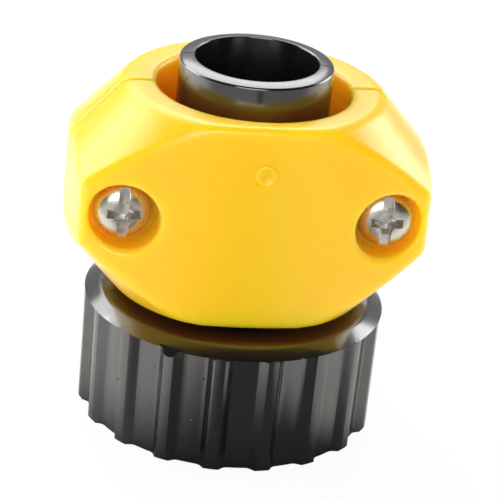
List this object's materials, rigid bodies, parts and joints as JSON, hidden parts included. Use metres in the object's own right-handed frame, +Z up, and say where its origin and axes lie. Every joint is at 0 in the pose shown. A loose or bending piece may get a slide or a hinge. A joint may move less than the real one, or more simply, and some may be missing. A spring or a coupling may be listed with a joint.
{
  "type": "garden hose coupler",
  "caption": "Clamp-type female hose coupler: ribbed swivel nut with hose thread and sealing washer, barbed stem, and a two-piece clamp drawn together by screws.",
  "frame": {"origin": "on the common axis of nut, stem and clamp, at the nut's mouth, which the part stands on", "axes": "+Z up along the stem, away from the nut; +X through the clamp's right screw; -Y is the front, where the screws are driven"},
  "size_m": [0.0462, 0.0394, 0.0493],
  "materials": {
    "yellow_plastic": "smooth, half gloss, slightly translucent",
    "black_plastic": "fine satin, moulded",
    "washer_rubber": "matt",
    "zinc_steel": "bright zinc plate"
  },
  "bodies": {
    "stem": {"hose_stem": "black_plastic", "clamp_half_rear": "yellow_plastic"},
    "front_clamp": {"clamp_half_front": "yellow_plastic"},
    "left_screw": {"screw_left": "zinc_steel"},
    "right_screw": {"screw_right": "zinc_steel"},
    "washer": {"hose_washer": "washer_rubber"},
    "nut": {"coupling_nut": "black_plastic"}
  },
  "joints": [
    {"name": "clamp_open", "type": "slide", "parent": "stem", "child": "front_clamp", "axis": [0, -1, 0], "range_m": [0, 0.003]},
    {"name": "left_screw_turn", "type": "hinge", "parent": "front_clamp", "child": "left_screw", "pos_m": [-0.0168, 0, 0.03215], "axis": [0, -1, 0], "range_deg": [0, 770]},
    {"name": "right_screw_turn", "type": "hinge", "parent": "front_clamp", "child": "right_screw", "pos_m": [0.0168, 0, 0.03215], "axis": [0, -1, 0], "range_deg": [0, 770]},
    {"name": "nut_float", "type": "slide", "parent": "stem", "child": "washer", "axis": [0, 0, -1], "range_m": [0, 0.0006]},
    {"name": "nut_swivel", "type": "hinge", "parent": "washer", "child": "nut", "pos_m": [0, 0, 0.009], "axis": [0, 0, 1], "continuous": true}
  ],
  "couplings": [
    {"joint": "left_screw_turn", "follows": "clamp_open", "rad_per_m": 4456.2},
    {"joint": "right_screw_turn", "follows": "clamp_open", "rad_per_m": 4456.2}
  ]
}
